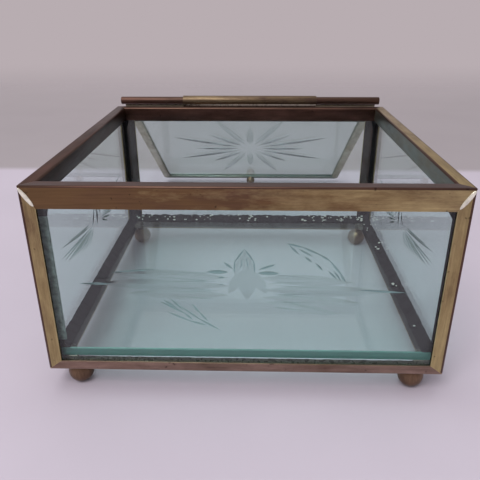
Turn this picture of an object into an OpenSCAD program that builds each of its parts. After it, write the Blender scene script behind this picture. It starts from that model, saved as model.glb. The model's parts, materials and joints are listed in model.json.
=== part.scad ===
// Glass casket box: clear panes held in brass section, ball feet, a lid on a rod hinge.
// It stands on the table with its lid swung over the back, propped on the lid's ball knob.
// Millimetres, +Z up, z = 0 at the table. The closed box is drawn about x = 0, y = 0
// and then moved so that the open outline is centred on the origin.

/* [Box] */
// Width over the brass, side to side
box_w = 120; // [90:1:160]
// Depth over the brass, front to back
box_d = 113; // [85:1:150]
// Height of the brass frame, without the feet
frame_h = 59.2; // [45:0.1:90]

/* [Brass section] */
// Thickness of the brass sheet
brass_t = 0.5; // [0.4:0.1:0.7]
// Height of the top rim's outer leg
rim_leg = 6.5; // [5.5:0.1:8]
// Height of the top rim's inner leg
rim_inner_leg = 5.6; // [4:0.1:7]
// Width of a front post's leg on the front of the box
post_leg = 4.3; // [4:0.1:6]
// Width of a post's leg on the side or the back of the box
post_wide_leg = 7.8; // [6:0.1:9]
// Height of the bottom angle's standing leg
bottom_leg = 3.2; // [2.5:0.1:4.5]
// Width of the bottom angle's flange
bottom_flange = 6; // [5.5:0.1:8]

/* [Glass] */
// Thickness of every pane
glass_t = 3; // [2:0.5:4]
// Clearance between a pane and its brass or its neighbour
glass_gap = 0.1; // [0.05:0.05:0.2]

/* [Solder] */
// Width of a solder bead along a mitre
bead_w = 1.2; // [0.8:0.1:1.6]
// How far a solder bead stands proud of the brass
bead_proud = 0.25; // [0.15:0.05:0.4]
// How far a bead stops short of each end of its mitre
bead_inset = 0.9; // [0.8:0.1:1.4]
// Height of the solder pillars that carry the base pane
base_lift = 3; // [2:0.1:4]
// Radius of the solder pillars in the bottom corners
pillar_r = 5; // [4:0.1:7]
// How far the sleeve's fillet runs over the top of the rear rim
fillet_toe = 0.35; // [0.2:0.05:0.5]
// How far the sleeve's fillet runs down the back of the rear rim
fillet_drop = 1.4; // [0.8:0.1:2.5]
// Thickness of the sleeve's fillet where it ends under the sleeve
fillet_end = 0.1; // [0.05:0.05:0.2]
// Height of the solder between the rod and the lid's edging
rod_solder_h = 2.3; // [1.6:0.1:2.5]

/* [Feet] */
// Diameter of a ball foot
foot_d = 7.9; // [6:0.1:12]
// Depth of the flat worn under each ball
foot_flat = 0.2; // [0.15:0.05:0.4]
// Depth of the ball that is sunk in its solder under the frame
foot_sink = 0.2; // [0.15:0.05:0.4]
// Radius of the solder collar on top of each ball
collar_r = 2.4; // [1.8:0.1:2.8]
// Height of the solder collar
collar_h = 0.9; // [0.6:0.1:1.2]
// Middle of a foot, in from the side of the box
foot_inset_x = 8; // [6:0.1:20]
// Middle of a foot, in from the front or back of the box
foot_inset_y = 5.4; // [4.5:0.1:7]

/* [Lid] */
// How far the lid stops short of each side of the box
lid_side = 3.2; // [2:0.1:5]
// How far the closed lid's front edge stays behind the front of the box
lid_setback = 1; // [0:0.1:2]
// Width of the lid's brass edging, seen from above
lid_leg = 4; // [3.5:0.1:6]
// Radius of the lid's two free corners
lid_corner_r = 2.6; // [1.5:0.1:3.5]
// Gap between the closed lid and the rim
lid_rest_gap = 0.15; // [0.1:0.05:0.3]
// Diameter of the ball knob
knob_d = 5.2; // [4.6:0.1:7]
// Height of the ball's middle above the lid's outer face
knob_rise = 1.85; // [1.5:0.05:2.2]
// Middle of the knob, in from the lid's front edge
knob_inset = 2.2; // [2:0.1:2.6]

/* [Hinge] */
// Diameter of the hinge rod
rod_d = 3.3; // [2.5:0.1:3.6]
// How far the hinge rod runs past each side of the lid
rod_over = 1.4; // [0:0.1:1.8]
// Running clearance between the rod and its sleeve, on the radius
rod_gap = 0.05; // [0.03:0.01:0.08]
// Wall of the hinge sleeve
sleeve_t = 0.45; // [0.3:0.05:0.6]
// Length of the hinge sleeve
sleeve_len = 60; // [30:1:80]
// Distance of the hinge axis behind the back of the box
hinge_back = 1.6; // [1.4:0.1:2]
// Clearance between the sleeve and what turns past it
hinge_gap = 0.2; // [0.15:0.05:0.4]

/* [Hidden] */
$fn = 64;

BRASS = "#8f7346";
DARK_BRASS = "#6b543a";
SOLDER = "#cfc6a4";
GLASS = [0.62, 0.80, 0.80, 0.35];
SLACK = 1;                                  // cutters reach this far past what they cut

channel_w = glass_t + 2 * (brass_t + glass_gap);   // a pane with brass on both faces
skin = brass_t + glass_gap;                 // from the outside of the brass to the pane
wall = skin + glass_t;                      // from the outside of the brass to the pane's inner face
frame_z = foot_d - foot_flat - foot_sink;   // underside of the frame
rim_z = frame_z + frame_h;                  // top of the rim
base_z = frame_z + brass_t + base_lift;     // underside of the base pane
lid_w = box_w - 2 * lid_side;
rod_len = lid_w + 2 * rod_over;

hinge_y = box_d / 2 + hinge_back;
hinge_z = rim_z + lid_rest_gap + channel_w / 2;
sleeve_r = rod_d / 2 + rod_gap + sleeve_t;
lid_back = sleeve_r + hinge_gap;            // from the hinge axis to the lid's back edge
lid_reach = hinge_y + box_d / 2 - lid_setback;     // from the hinge axis to the lid's front edge
knob_reach = lid_reach - knob_inset;
knob_out = channel_w / 2 + knob_rise;
KNOB_CLEAR = 0.05;                          // daylight under the knob, so that the feet stay lowest
lid_droop = asin((hinge_z - knob_d / 2 - KNOB_CLEAR) / norm([knob_reach, knob_out]))
    - atan2(knob_out, knob_reach);          // slope of the open lid, below level
lid_open = 180 + lid_droop;                 // swing from closed to open

outline_back = hinge_y + lid_reach * cos(lid_droop) + channel_w / 2 * sin(lid_droop);
outline_front = -box_d / 2 - bead_proud;
outline_mid = (outline_back + outline_front) / 2;
echo(hinge_axis_y = hinge_y - outline_mid, hinge_axis_z = hinge_z, lid_open = lid_open,
    outline_mid = outline_mid, base_z = base_z, rim_z = rim_z, frame_z = frame_z);

// ---- frames of reference ----

module box_place() {
    translate([0, -outline_mid, 0]) children();
}

// Children are drawn as the closed lid, with the hinge axis along X through the origin.
module lid_place() {
    translate([0, hinge_y - outline_mid, hinge_z])
        rotate([-lid_open, 0, 0]) children();
}

// Children are drawn at the front left corner.
module corner(right, rear) {
    box_place()
        mirror([right ? 1 : 0, 0, 0])
            mirror([0, rear ? 1 : 0, 0]) children();
}

// ---- shapes used more than once ----

// A block centred on x and y that stands on z.
module block(w, d, z, h) {
    translate([-w / 2, -d / 2, z]) cube([w, d, h]);
}

// Plan of one side of a w by d frame, cut at 45 degrees through both corners.
// It runs inwards by reach, which is more than the side's own width.
function side_plan(side, w, d, reach) =
    let (x = w / 2, y = d / 2, o = SLACK, i = reach)
    side == "front" ? [[-x - o, -y - o], [x + o, -y - o], [x - i, -y + i], [-x + i, -y + i]] :
    side == "rear" ? [[-x - o, y + o], [-x + i, y - i], [x - i, y - i], [x + o, y + o]] :
    side == "left" ? [[-x - o, -y - o], [-x + i, -y + i], [-x + i, y - i], [-x - o, y + o]] :
    [[x + o, -y - o], [x + o, y + o], [x - i, y - i], [x - i, -y + i]];

module mitred(side, w, d, reach, z, h) {
    intersection() {
        children();
        translate([0, 0, z - SLACK])
            linear_extrude(h + 2 * SLACK) polygon(side_plan(side, w, d, reach));
    }
}

// Width of the post's leg that lies on the front or the back of the box.
function cross_leg(rear) = rear ? post_wide_leg : post_leg;

// Ends of the outer legs, from the post's width at the leg's free edge to nothing at its fold.
// leg_z is the fold and leg_h runs from it to the free edge, down where it is negative.
module post_notches(leg_z, leg_h) {
    for (right = [0, 1], rear = [0, 1])
        mirror([right, 0, 0]) mirror([0, rear, 0]) {
            translate([-box_w / 2, -box_d / 2 + brass_t, leg_z]) rotate([90, 0, 0])
                linear_extrude(brass_t + SLACK) notch_face(leg_h, cross_leg(rear == 1));
            translate([-box_w / 2 - SLACK, -box_d / 2, leg_z]) rotate([90, 0, 90])
                linear_extrude(brass_t + SLACK) notch_face(leg_h, post_wide_leg);
        }
}

module notch_face(leg_h, post_w) {
    past = leg_h * (1 + SLACK / post_w);
    polygon([[0, 0], [post_w + SLACK, past], [-SLACK, past], [-SLACK, 0]]);
}

// ---- glass ----

module front_or_rear_glass(rear) {
    color(GLASS) corner(false, rear)
        translate([-box_w / 2 + skin, -box_d / 2 + skin, frame_z + brass_t])
            cube([box_w - 2 * skin, glass_t, frame_h - 2 * brass_t - glass_gap]);
}

module side_glass(right) {
    inset = wall + glass_gap;
    color(GLASS) corner(right, false)
        translate([-box_w / 2 + skin, -box_d / 2 + inset, frame_z + brass_t])
            cube([glass_t, box_d - 2 * inset, frame_h - 2 * brass_t - glass_gap]);
}

module front_glass() { front_or_rear_glass(false); }
module rear_glass() { front_or_rear_glass(true); }
module left_glass() { side_glass(false); }
module right_glass() { side_glass(true); }

module base_glass() {
    inset = wall + glass_gap;
    color(GLASS) box_place()
        block(box_w - 2 * inset, box_d - 2 * inset, base_z, glass_t);
}

// ---- top rim: a channel over the panes' upper edges, mitred at the corners ----

module rim_ring() {
    inner = 2 * channel_w;
    difference() {
        block(box_w, box_d, rim_z - rim_leg, rim_leg);
        block(box_w - inner, box_d - inner, rim_z - rim_leg - SLACK, rim_leg + 2 * SLACK);
        difference() {
            block(box_w - 2 * brass_t, box_d - 2 * brass_t, rim_z - rim_leg - SLACK,
                rim_leg + SLACK - brass_t);
            block(box_w - inner + 2 * brass_t, box_d - inner + 2 * brass_t, rim_z - rim_inner_leg,
                rim_inner_leg);
        }
        post_notches(rim_z, -rim_leg);
    }
}

module rim(side) {
    color(BRASS) box_place()
        mitred(side, box_w, box_d, 2 * channel_w, rim_z - rim_leg, rim_leg) rim_ring();
}

module rim_front() { rim("front"); }
module rim_right() { rim("right"); }
module rim_rear() { rim("rear"); }
module rim_left() { rim("left"); }

// ---- bottom angles: a standing leg outside the panes and a flange under them ----

module bottom_ring() {
    difference() {
        block(box_w, box_d, frame_z, bottom_leg);
        block(box_w - 2 * brass_t, box_d - 2 * brass_t, frame_z + brass_t, bottom_leg);
        block(box_w - 2 * bottom_flange, box_d - 2 * bottom_flange, frame_z - SLACK, bottom_leg);
        post_notches(frame_z, bottom_leg);
    }
}

module bottom_angle(side) {
    color(DARK_BRASS) box_place()
        mitred(side, box_w, box_d, 2 * bottom_flange, frame_z, bottom_leg) bottom_ring();
}

module bottom_angle_front() { bottom_angle("front"); }
module bottom_angle_right() { bottom_angle("right"); }
module bottom_angle_rear() { bottom_angle("rear"); }
module bottom_angle_left() { bottom_angle("left"); }

// ---- corner posts: an angle outside each upright corner ----

// One leg of a post, its ends cut to meet the rim and the bottom angle.
module post_face(leg) {
    polygon([[0, frame_z], [leg, frame_z + bottom_leg], [leg, rim_z - rim_leg], [0, rim_z]]);
}

module post(right, rear) {
    color(BRASS) corner(right, rear) {
        translate([-box_w / 2, -box_d / 2 + brass_t, 0]) rotate([90, 0, 0])
            linear_extrude(brass_t) post_face(cross_leg(rear));
        translate([-box_w / 2, -box_d / 2, 0]) rotate([90, 0, 90])
            linear_extrude(brass_t) post_face(post_wide_leg);
    }
}

module post_front_left() { post(false, false); }
module post_front_right() { post(true, false); }
module post_rear_left() { post(false, true); }
module post_rear_right() { post(true, true); }

// ---- solder ----

// A bead lying on the XY plane, along +X from the origin.
module bead(length) {
    bead_r = (pow(bead_w / 2, 2) + pow(bead_proud, 2)) / (2 * bead_proud);
    intersection() {
        translate([0, 0, bead_proud - bead_r]) rotate([0, 90, 0]) cylinder(r = bead_r, h = length);
        translate([-SLACK, -bead_w, 0]) cube([length + 2 * SLACK, 2 * bead_w, bead_proud + SLACK]);
    }
}

// A bead that runs down the mitre between the rim and a leg of the post, from the corner.
module mitre_bead(leg) {
    translate([bead_inset, 0, 0]) bead(norm([leg, rim_leg]) - 2 * bead_inset);
}

// Beads on the two mitres where a post meets the rim.
module rim_solder(right, rear) {
    leg = cross_leg(rear);
    color(SOLDER) corner(right, rear) translate([-box_w / 2, -box_d / 2, rim_z]) {
        rotate([90, atan2(rim_leg, leg), 0]) mitre_bead(leg);
        rotate([90, 0, -90]) rotate([0, 0, 180 + atan2(rim_leg, post_wide_leg)]) mitre_bead(post_wide_leg);
    }
}

module rim_solder_front_left() { rim_solder(false, false); }
module rim_solder_front_right() { rim_solder(true, false); }
module rim_solder_rear_left() { rim_solder(false, true); }
module rim_solder_rear_right() { rim_solder(true, true); }

// A pillar in the corner between two panes, from the flanges up to the base pane.
module base_solder(right, rear) {
    inset = wall + glass_gap;
    color(SOLDER) corner(right, rear)
        translate([-box_w / 2 + inset, -box_d / 2 + inset, frame_z + brass_t])
            intersection() {
                cylinder(r = pillar_r, h = base_lift);
                cube([pillar_r, pillar_r, base_lift]);
            }
}

module base_solder_front_left() { base_solder(false, false); }
module base_solder_front_right() { base_solder(true, false); }
module base_solder_rear_left() { base_solder(false, true); }
module base_solder_rear_right() { base_solder(true, true); }

// ---- feet ----

module foot(right, rear) {
    color(BRASS) corner(right, rear)
        translate([-box_w / 2 + foot_inset_x, -box_d / 2 + foot_inset_y, 0]) {
            intersection() {
                translate([0, 0, foot_d / 2 - foot_flat]) sphere(d = foot_d);
                cylinder(d = foot_d + SLACK, h = frame_z);
            }
            translate([0, 0, frame_z - collar_h]) cylinder(r = collar_r, h = collar_h);
        }
}

module foot_front_left() { foot(false, false); }
module foot_front_right() { foot(true, false); }
module foot_rear_left() { foot(false, true); }
module foot_rear_right() { foot(true, true); }

// ---- hinge: a sleeve on the box and a rod on the lid ----

module along_x(length) {
    translate([-length / 2, 0, 0]) rotate([90, 0, 90]) linear_extrude(length) children();
}

module hinge_sleeve() {
    color(BRASS) box_place() translate([0, hinge_y, hinge_z])
        along_x(sleeve_len) difference() {
            circle(r = sleeve_r);
            circle(r = sleeve_r - sleeve_t);
        }
}

// Fillet between the sleeve, the top of the rear rim and its back.
module hinge_sleeve_solder() {
    rim_top = -lid_rest_gap - channel_w / 2;    // from the axis
    color(SOLDER) box_place() translate([0, hinge_y, hinge_z])
        along_x(sleeve_len - 2 * hinge_gap) difference() {
            polygon([[-hinge_back - fillet_toe, rim_top], [-hinge_back, rim_top],
                [-hinge_back, rim_top - fillet_drop], [-fillet_end, -sleeve_r - fillet_end],
                [-fillet_end, 0], [-hinge_back, 0]]);
            circle(r = sleeve_r);
            translate([-sleeve_r, -sleeve_r / 2]) square([sleeve_r, sleeve_r]);
        }
}

module hinge_rod() {
    color(DARK_BRASS) lid_place() along_x(rod_len) circle(d = rod_d);
}

// Solder between the rod and the lid's rear edging, on one side of the sleeve.
module hinge_rod_solder(right) {
    from = sleeve_len / 2 + hinge_gap;
    color(SOLDER) lid_place() mirror([right ? 1 : 0, 0, 0])
        translate([-lid_w / 2, 0, 0]) rotate([90, 0, 90])
            linear_extrude(lid_w / 2 - from) difference() {
                translate([-lid_back, -rod_solder_h / 2]) square([lid_back, rod_solder_h]);
                circle(d = rod_d);
            }
}

module hinge_rod_solder_left() { hinge_rod_solder(false); }
module hinge_rod_solder_right() { hinge_rod_solder(true); }

// ---- lid, drawn closed: it runs from the hinge axis towards -Y, outer face up ----

// A slab over the lid's whole plan, drawn in by inset, its two front corners rounded.
module lid_slab(inset, thickness, corner_r) {
    x = lid_w / 2 - inset;
    front = -lid_reach + inset;
    rear = -lid_back - inset;
    difference() {
        translate([-x, front, -thickness / 2]) cube([2 * x, rear - front, thickness]);
        if (corner_r > 0)
            for (right = [0, 1]) mirror([right, 0, 0])
                translate([-x + corner_r, front + corner_r, -thickness / 2 - SLACK])
                    difference() {
                        translate([-corner_r - SLACK, -corner_r - SLACK, 0])
                            cube([corner_r + SLACK, corner_r + SLACK, thickness + 2 * SLACK]);
                        cylinder(r = corner_r, h = thickness + 2 * SLACK);
                    }
    }
}

module lid_ring() {
    difference() {
        lid_slab(0, channel_w, lid_corner_r);
        lid_slab(brass_t, glass_t + 2 * glass_gap, lid_corner_r - brass_t);
        lid_slab(lid_leg, channel_w + 2 * SLACK, 0);
    }
}

module lid_edging(side) {
    depth = lid_reach - lid_back;
    color(BRASS) lid_place() translate([0, -lid_back - depth / 2, 0])
        mitred(side, lid_w, depth, 2 * lid_leg, -channel_w / 2, channel_w)
            translate([0, lid_back + depth / 2, 0]) lid_ring();
}

module lid_edging_front() { lid_edging("front"); }
module lid_edging_right() { lid_edging("right"); }
module lid_edging_rear() { lid_edging("rear"); }
module lid_edging_left() { lid_edging("left"); }

module lid_glass() {
    color(GLASS) lid_place() lid_slab(skin, glass_t, lid_corner_r - skin);
}

module lid_knob() {
    color(BRASS) lid_place() translate([0, -knob_reach, channel_w / 2])
        intersection() {
            translate([0, 0, knob_rise]) sphere(d = knob_d);
            cylinder(d = knob_d + SLACK, h = knob_d);
        }
}

front_glass();
rear_glass();
left_glass();
right_glass();
base_glass();
rim_front();
rim_right();
rim_rear();
rim_left();
post_front_left();
post_front_right();
post_rear_left();
post_rear_right();
bottom_angle_front();
bottom_angle_right();
bottom_angle_rear();
bottom_angle_left();
rim_solder_front_left();
rim_solder_front_right();
rim_solder_rear_left();
rim_solder_rear_right();
base_solder_front_left();
base_solder_front_right();
base_solder_rear_left();
base_solder_rear_right();
foot_front_left();
foot_front_right();
foot_rear_left();
foot_rear_right();
hinge_sleeve();
hinge_sleeve_solder();
lid_glass();
lid_edging_front();
lid_edging_right();
lid_edging_rear();
lid_edging_left();
hinge_rod();
hinge_rod_solder_left();
hinge_rod_solder_right();
lid_knob();
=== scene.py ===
"""Glass casket box: engraved panes in aged brass sections, on ball feet, its lid swung over the back.

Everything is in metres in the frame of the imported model: +Z up from the table, the front towards -Y.
The lid's pane, edging and knob are drawn as if it were closed, about its hinge axis, and swung open."""

import json
import math
import random

import bmesh
import bpy
from bpy.props import FloatProperty, FloatVectorProperty, IntProperty, PointerProperty
from mathutils import Matrix, Vector

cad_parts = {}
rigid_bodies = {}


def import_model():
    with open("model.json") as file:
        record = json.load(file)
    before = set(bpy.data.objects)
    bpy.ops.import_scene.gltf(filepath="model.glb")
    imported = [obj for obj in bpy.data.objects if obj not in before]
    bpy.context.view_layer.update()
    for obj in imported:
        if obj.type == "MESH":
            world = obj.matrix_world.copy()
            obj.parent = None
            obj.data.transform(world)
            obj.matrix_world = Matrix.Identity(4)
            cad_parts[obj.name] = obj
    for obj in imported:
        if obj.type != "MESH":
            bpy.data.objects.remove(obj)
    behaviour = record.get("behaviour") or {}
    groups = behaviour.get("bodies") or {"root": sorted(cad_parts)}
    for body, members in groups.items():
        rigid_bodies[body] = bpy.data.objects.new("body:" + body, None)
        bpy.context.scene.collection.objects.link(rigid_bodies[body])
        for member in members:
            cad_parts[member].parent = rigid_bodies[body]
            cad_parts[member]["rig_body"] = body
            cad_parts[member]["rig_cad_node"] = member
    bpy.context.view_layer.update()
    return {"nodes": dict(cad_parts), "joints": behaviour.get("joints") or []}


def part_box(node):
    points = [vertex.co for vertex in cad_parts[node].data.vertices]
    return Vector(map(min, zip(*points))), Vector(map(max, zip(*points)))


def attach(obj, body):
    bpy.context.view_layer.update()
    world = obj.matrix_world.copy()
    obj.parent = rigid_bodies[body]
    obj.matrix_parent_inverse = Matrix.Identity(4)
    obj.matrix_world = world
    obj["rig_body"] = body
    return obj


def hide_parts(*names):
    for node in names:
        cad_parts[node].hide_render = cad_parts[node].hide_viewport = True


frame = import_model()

bl_info = {
    "name": "Glass casket box",
    "version": (1, 0, 0),
    "blender": (4, 5, 0),
    "location": "View3D > Sidebar > Casket",
    "description": "Builds an engraved glass casket box with brass sections, solder and ball feet",
    "category": "Add Mesh",
}

MM = 0.001
NEAR = 0.02 * MM  # two places closer than this are the same place
QUARTER = math.pi / 2


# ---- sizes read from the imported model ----

def bounds_in(node, matrix):
    """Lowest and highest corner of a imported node, in the frame that matrix leads to."""
    points = [matrix @ v.co for v in frame["nodes"][node].data.vertices]
    low = Vector(min(p[i] for p in points) for i in range(3))
    high = Vector(max(p[i] for p in points) for i in range(3))
    return low, high


HINGE = frame["joints"][0]
LID_OPEN = math.radians(HINGE["range_deg"][1])  # from open, as in the photo, to closed on the rim
LID_PLACE = Matrix.Translation(HINGE["pos_m"]) @ Matrix.Rotation(-LID_OPEN, 4, "X")
LID_FRAME = LID_PLACE.inverted()

RIM_LOW, RIM_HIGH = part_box("rim_front")
BOX_FRONT, RIM_TOP = RIM_LOW.y, RIM_HIGH.z
BOX_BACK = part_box("rim_rear")[1].y
BOX_W = RIM_HIGH.x - RIM_LOW.x
BOX_D = BOX_BACK - BOX_FRONT
BOX_Y = (BOX_FRONT + BOX_BACK) / 2
FRAME_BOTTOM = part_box("bottom_angle_front")[0].z
CHANNEL_W = RIM_HIGH.y - RIM_LOW.y
FOOT_LOW, FOOT_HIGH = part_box("foot_front_left")
FOOT_D = FOOT_HIGH.x - FOOT_LOW.x
BASE_LOW, BASE_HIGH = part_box("base_glass")
LID_W = -2 * bounds_in("lid_edging_left", LID_FRAME)[0].x
LID_FRONT = bounds_in("lid_edging_front", LID_FRAME)[0].y
LID_BACK = bounds_in("lid_edging_rear", LID_FRAME)[1].y


def linear(code):
    """A colour written as sRGB hex, turned to the linear values that the renderer works in."""
    parts = [int(code[i:i + 2], 16) / 255 for i in (1, 3, 5)]
    return tuple(c / 12.92 if c <= 0.04045 else ((c + 0.055) / 1.055) ** 2.4 for c in parts)


def length(label, about, millimetres):
    return FloatProperty(name=label, description=about, default=millimetres * MM, min=0.0, unit="LENGTH")


def share(label, about, value):
    return FloatProperty(name=label, description=about, default=value, min=0.0, max=1.0, subtype="FACTOR")


def colour(label, about, code):
    return FloatVectorProperty(name=label, description=about, default=linear(code), size=3, subtype="COLOR",
                               min=0.0, max=1.0)


# ---- what a user would change ----

class CasketBrassSizes(bpy.types.PropertyGroup):
    """Brass sections, as the sheet was folded"""
    sheet: length("Sheet", "Thickness of the brass sheet", 0.5)
    rim_leg: length("Rim leg", "Height of the rim's outer leg", (RIM_HIGH.z - RIM_LOW.z) / MM)
    rim_inner_leg: length("Rim inner leg", "Height of the rim's inner leg", 5.6)
    post_leg: length("Post leg", "Width of a front post's leg on the front of the box", 4.3)
    post_wide_leg: length("Wide post leg", "Width of a post's leg on the side or the back of the box", 7.8)
    bottom_leg: length("Bottom leg", "Height of the bottom angle's standing leg", 3.2)
    bottom_flange: length("Flange", "Width of the flange under the panes", 6.0)
    lid_leg: length("Lid leg", "Width of the lid's edging, seen from above", 4.0)
    lid_corner: length("Lid corner", "Radius of the lid's two free corners", 2.6)
    fold: length("Fold", "Outer radius of a fold in the rim and the bottom angles", 0.56)
    post_fold: length("Post fold", "Outer radius of the fold in a corner post", 1.0)
    burr: length("Edge", "Rounding of a cut edge", 0.1)


class CasketGlassSizes(bpy.types.PropertyGroup):
    """Panes, their wheel-cut engraving and the compound that seals them"""
    arris: length("Arris", "Width of the ground arris along a pane's edges", 0.3)
    matt_slope: share("Matt slope", "Depth of a broad matt cut as a share of its width", 0.045)
    line_slope: share("Line slope", "Depth of a fine cut as a share of its width", 0.25)
    sun_rays: IntProperty(name="Rays", description="Petals in the lid's sunburst", default=16, min=8, max=32)
    sun_heart: length("Heart", "Radius of the plain disc in the middle of the sunburst", 6.5)
    sun_short: length("Short ray", "Reach of the sunburst's short petals", 30.0)
    sun_long: length("Long ray", "Reach of the sunburst's long petals", 44.0)
    sun_width: length("Ray width", "Greatest width of a petal", 4.0)
    seal_height: length("Seal height", "How far the sealing compound climbs up a pane", 2.8)
    seal_width: length("Seal width", "How far the sealing compound spreads over the base pane", 3.2)
    rear_seal_height: length("Rear seal height", "How far the compound climbs up the rear pane", 2.0)
    rear_seal_width: length("Rear seal width", "How far the compound spreads at the back", 4.8)
    seal_toe: length("Seal toe", "Thickness of the compound where it ends", 0.35)
    seam: length("Seam", "Radius of the putty in the front left corner", 2.4)


class CasketFinishes(bpy.types.PropertyGroup):
    """Colours of the finishes"""
    gold: colour("Brass", "Brass where handling keeps it clean", "#BCAA7A")
    edge: colour("Worn edge", "Brass rubbed bright along its cut edges", "#D3C18E")
    brown: colour("Patina", "Brown patina on the posts", "#86714F")
    bronze: colour("Bronze", "Deeper brown patina on the rim", "#72573A")
    russet: colour("Russet", "Reddish patina beside the joints", "#60433A")
    olive: colour("Olive", "Greenish brown of the side rims", "#857558")
    umber: colour("Umber", "Dark brown of the hinge and the folds", "#57453A")
    rail: colour("Rail", "Pinkish brown of the bottom angles", "#9A8275")
    # dark is the darkest patina, and painted shade on the sections' inner faces
    dark: colour("Inside", "Nearly black reddish brown inside the sections", "#3F2C25")
    # black is also painted shade on the flange top under the base pane; the rear posts' insides take it too
    black: colour("Black", "Black flux left in the rear corners", "#2A2322")
    tin: colour("Tinned", "Grey-green tinned face of the front posts' inside", "#8C9490")
    lid: colour("Lid edging", "Grey-green tan of the lid's edging", "#B9B5A0")
    ball: colour("Ball", "Tarnished brass balls", "#8A7059")
    # Near white; with the solder's diffuse share it makes a painted highlight on the rim beads.
    solder: colour("Solder", "Soft solder, slightly yellowed", "#FBF7E4")
    stain: colour("Stained solder", "Solder browned by flux", "#8D837B")
    glass: colour("Glass", "What one face of a pane lets through", "#E3EFED")
    pale_glass: colour("Lid glass", "What one face of the lid's pane lets through", "#EDF6F5")
    # Painted glow: the light carried along inside a pane and let out at its ground edge.
    ground: colour("Ground edge", "Sea green glow of a pane's ground edge", "#5D9F99")
    matt: colour("Matt cut", "Broad matt cuts", "#C9D7D5")
    line: colour("Line", "Fine deep cuts", "#8FB4B3")
    seal: colour("Seal", "Dark compound round the base pane", "#171517")
    putty: colour("Putty", "Grey-green putty in the front left corner", "#6F7C78")
    glue: colour("Glue", "Dried glue in the compound", "#D9DCD6")


class CasketStudio(bpy.types.PropertyGroup):
    """Camera, lamps and table"""
    table: colour("Table", "Pale lilac table top", "#C0B5C1")
    wall: colour("Backdrop", "Warm grey behind the table", "#B8ADB1")
    far_edge: length("Table's far edge", "How far behind the model's origin the table's colour changes", 130.0)
    daylight: FloatProperty(name="Daylight", description="Strength of the light from all round",
                            default=0.6, min=0.0)
    window: FloatProperty(name="Window", description="Power of the large soft lamp above the box",
                          default=5.5, min=0.0, unit="POWER")
    front: FloatProperty(name="Front lamp", description="Power of the soft lamp in front",
                         default=9.0, min=0.0, unit="POWER")
    lens: FloatProperty(name="Lens", description="Focal length on a 36 mm sensor",
                        default=39.96, unit="CAMERA")


GROUPS = {
    "casket_brass": CasketBrassSizes,
    "casket_glass": CasketGlassSizes,
    "casket_finishes": CasketFinishes,
    "casket_studio": CasketStudio,
}


def settings(group):
    return getattr(bpy.context.scene, group)


# ---- materials ----

MIX_FACTOR, MIX_A, MIX_B, MIX_RESULT = 0, 6, 7, 2  # sockets of a Mix node that mixes colours


def add(tree, kind, inputs=(), **options):
    """Adds a node. Inputs are plain values or the outputs that feed them."""
    node = tree.nodes.new("ShaderNode" + kind)
    for name, value in options.items():
        setattr(node, name, value)
    for name, value in dict(inputs).items():
        if isinstance(value, bpy.types.NodeSocket):
            tree.links.new(value, node.inputs[name])
        else:
            node.inputs[name].default_value = value
    return node


def per_mm(size):
    """Texture scale at which a pattern's features are about this many millimetres wide."""
    return 1 / (size * MM)


def opaque(rgb):
    return (*rgb, 1.0)


def new_material(name):
    material = bpy.data.materials.new(name)
    material.use_nodes = True
    material.node_tree.nodes.clear()
    return material, material.node_tree


# Turns that bring the rolling direction of a sheet to X, and where the sheet starts and ends along it.
ROLLED_ALONG = {
    "x": ((0, 0, 0), -BOX_W / 2, BOX_W / 2),
    "y": ((0, 0, -QUARTER), BOX_FRONT, BOX_BACK),
    "z": ((0, QUARTER, 0), FRAME_BOTTOM, RIM_TOP),
}

# Clean, patina and russet colour, the share that the patina covers, and how much it gains at each end.
BRASS_LOOKS = {
    "rim": ("gold", "bronze", "russet", 0.7, (0.7, -0.35)),
    "side_rim": ("gold", "olive", "umber", 0.6, (0.0, 0.0)),
    "dull_rim": ("umber", "dark", "russet", 0.5, (0.1, 0.0)),
    "post": ("gold", "brown", "russet", 0.35, (-0.1, 0.35)),
    "fold": ("umber", "russet", "dark", 0.5, (0.0, 0.0)),
    "edge": ("edge", "gold", "brown", 0.3, (0.0, 0.0)),
    "rail": ("rail", "umber", "russet", 0.4, (0.0, 0.0)),
    "sleeve": ("olive", "umber", "dark", 0.6, (0.0, 0.0)),
    "rod": ("umber", "dark", "russet", 0.6, (0.1, -0.2)),
    "lid": ("lid", "olive", "umber", 0.3, (0.0, 0.0)),
    "ball": ("ball", "umber", "dark", 0.4, (0.0, 0.0)),
    "tinned": ("tin", "olive", "dark", 0.3, (0.0, 0.0)),
    # inside: painted shade, near black on the sections' inner faces and on the inner legs of the front, rear
    # and left rims
    "inside": ("dark", "russet", "black", 0.4, (0.0, 0.0)),
    # burnt: near black, painted shade on the flange top under the base pane, and given to the rear posts'
    # insides too
    "burnt": ("black", "dark", "black", 0.4, (0.0, 0.0)),
}


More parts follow.
